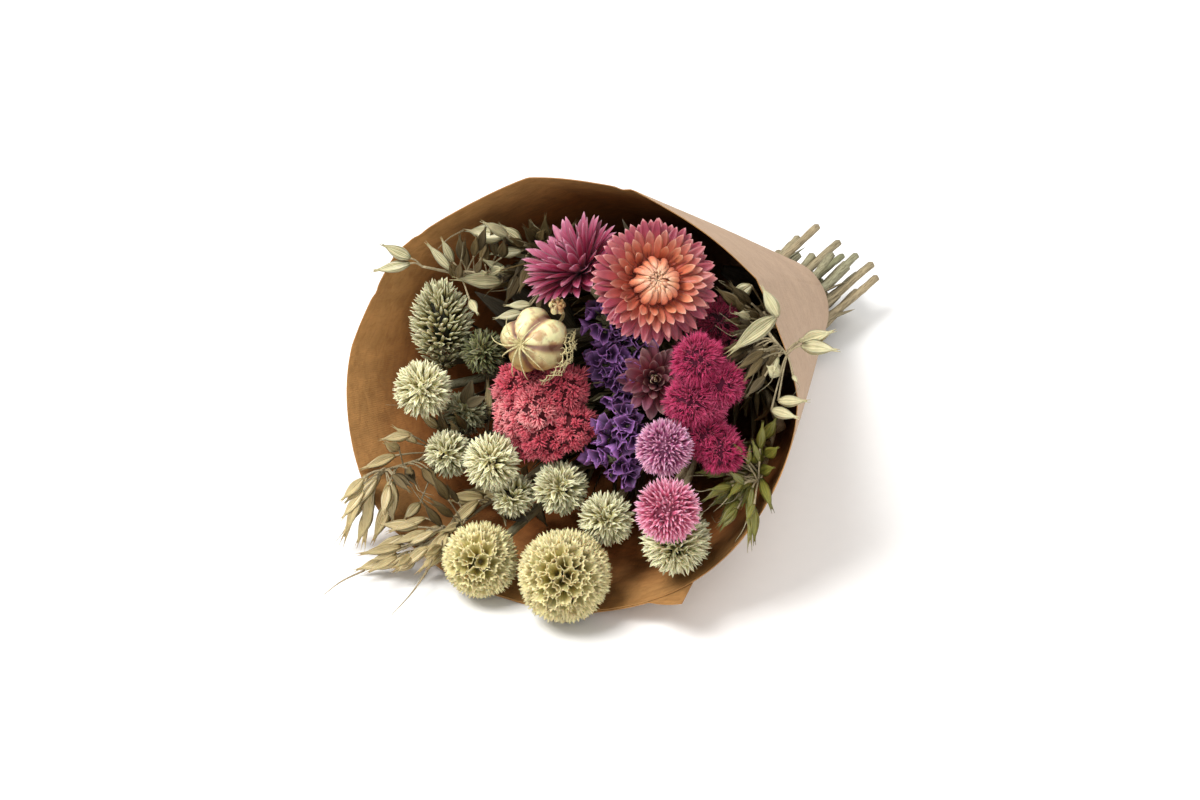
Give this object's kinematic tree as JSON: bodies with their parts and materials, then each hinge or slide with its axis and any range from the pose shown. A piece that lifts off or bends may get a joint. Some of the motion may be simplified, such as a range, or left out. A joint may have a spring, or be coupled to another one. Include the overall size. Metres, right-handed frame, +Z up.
{
  "type": "mixed dried flower bouquet",
  "caption": "Bunch of mixed dried flowers, seed heads and oats, tied and rolled in a kraft paper cone, lying on its side.",
  "frame": {"origin": "on the surface, at the flat strip along the underside of the paper cone", "axes": "+Z up, +Y from the mouth of the cone towards the cut stems, +X to the right of whoever looks into the mouth"},
  "size_m": [0.1961, 0.3223, 0.1441],
  "materials": {
    "kraft_paper": "matte, faintly ribbed",
    "twine": "matte jute",
    "coral_petals": "dry satin",
    "magenta_petals": "dry satin",
    "rose_petals": "dry satin",
    "seed_pod": "dry matte",
    "red_plush": "velvety",
    "magenta_plush": "velvety",
    "dark_plush": "velvety",
    "mauve_bracts": "dry satin",
    "pink_bracts": "dry satin",
    "canary_bracts": "dry matte",
    "shaded_canary_bracts": "dry matte",
    "seed_cups": "dry matte",
    "statice_cups": "dry matte",
    "oat_husks": "dry satin",
    "green_oat_husks": "dry satin",
    "dried_stems": "dry matte"
  },
  "bodies": {
    "root": {"paper_wrap": "kraft_paper", "stem_tie": "twine", "coral_strawflower": "coral_petals", "coral_strawflower_stem": "dried_stems", "magenta_strawflower": "magenta_petals", "magenta_strawflower_stem": "dried_stems", "rose_strawflower": "rose_petals", "rose_strawflower_stem": "dried_stems", "nigella_pod": "seed_pod", "nigella_pod_stem": "dried_stems", "red_cockscomb": "red_plush", "red_cockscomb_stem": "dried_stems", "magenta_cockscomb": "magenta_plush", "magenta_cockscomb_stem": "dried_stems", "dark_cockscomb": "dark_plush", "dark_cockscomb_stem": "dried_stems", "mauve_globe_amaranth": "mauve_bracts", "mauve_globe_amaranth_stem": "dried_stems", "pink_globe_amaranth": "pink_bracts", "pink_globe_amaranth_stem": "dried_stems", "canary_grass_tall": "canary_bracts", "canary_grass_left": "canary_bracts", "canary_grass_low_left": "canary_bracts", "canary_grass_bright": "canary_bracts", "canary_grass_behind": "canary_bracts", "canary_grass_middle": "canary_bracts", "canary_grass_right": "canary_bracts", "canary_grass_big": "canary_bracts", "canary_grass_dark": "shaded_canary_bracts", "canary_grass_deep": "shaded_canary_bracts", "cup_seed_head_left": "seed_cups", "cup_seed_head_front": "seed_cups", "statice_upper": "statice_cups", "statice_lower": "statice_cups", "oats_upper_left": "oat_husks", "oats_top": "oat_husks", "oats_right": "oat_husks", "oats_lower_left": "oat_husks", "oats_bottom_left": "oat_husks", "oats_right_green": "green_oat_husks"}
  },
  "joints": []
}
